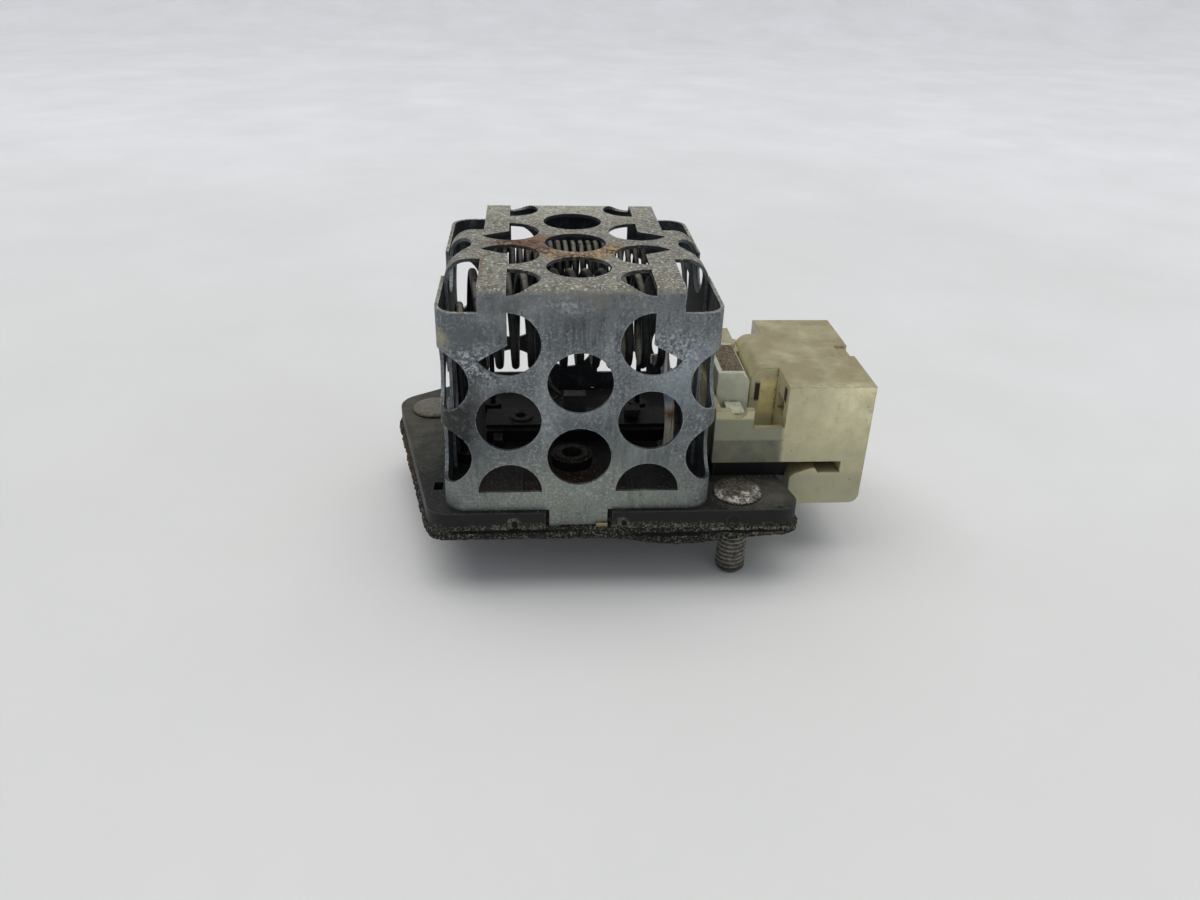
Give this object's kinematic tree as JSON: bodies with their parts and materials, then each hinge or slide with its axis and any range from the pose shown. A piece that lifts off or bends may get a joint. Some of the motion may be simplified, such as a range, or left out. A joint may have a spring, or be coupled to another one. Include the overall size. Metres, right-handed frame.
{
  "type": "blower motor resistor",
  "caption": "Wire coil blower motor resistor in a folded perforated cage, on a studded plate with a foam gasket and a nylon plug housing.",
  "frame": {"origin": "midway between the two mounting studs, on the underside of the foam gasket", "axes": "+Z out of the cage's top, studs pointing to -Z, +X towards the connector, -Y the front in the picture"},
  "size_m": [0.0978, 0.0594, 0.0624],
  "materials": {
    "base_moulding": "black glass filled moulding, dusty and dull",
    "gasket_foam": "open foam with dust and rust stains",
    "cage_zinc": "mottled zinc plate with a rust patch on top",
    "stud_steel": "oxidised steel",
    "coil_wire": "heat darkened resistance wire",
    "tap_metal": "heat tinted strip",
    "rivet_brass": "tarnished",
    "terminal_metal": "dull tin plated brass",
    "cutout_body": "satin black",
    "lead_wire": "dull wire",
    "nylon_natural": "aged natural nylon, slightly translucent",
    "nylon_pale": "pale nylon, slightly translucent",
    "rough_fill": "rough, brown and crumbly"
  },
  "bodies": {
    "root": {"base_plate": "base_moulding", "gasket": "gasket_foam", "cage": "cage_zinc", "stud_front": "stud_steel", "stud_rear": "stud_steel", "front_coil": "coil_wire", "rear_coil": "coil_wire", "tap_strip": "tap_metal", "left_eyelet": "rivet_brass", "centre_eyelet": "rivet_brass", "terminal_lug": "terminal_metal", "cutout": "cutout_body", "cutout_leads": "lead_wire", "housing": "nylon_natural", "lock_block": "nylon_pale", "lock_fill": "rough_fill", "blade_1": "terminal_metal", "blade_2": "terminal_metal", "blade_3": "terminal_metal", "blade_4": "terminal_metal"}
  },
  "joints": []
}
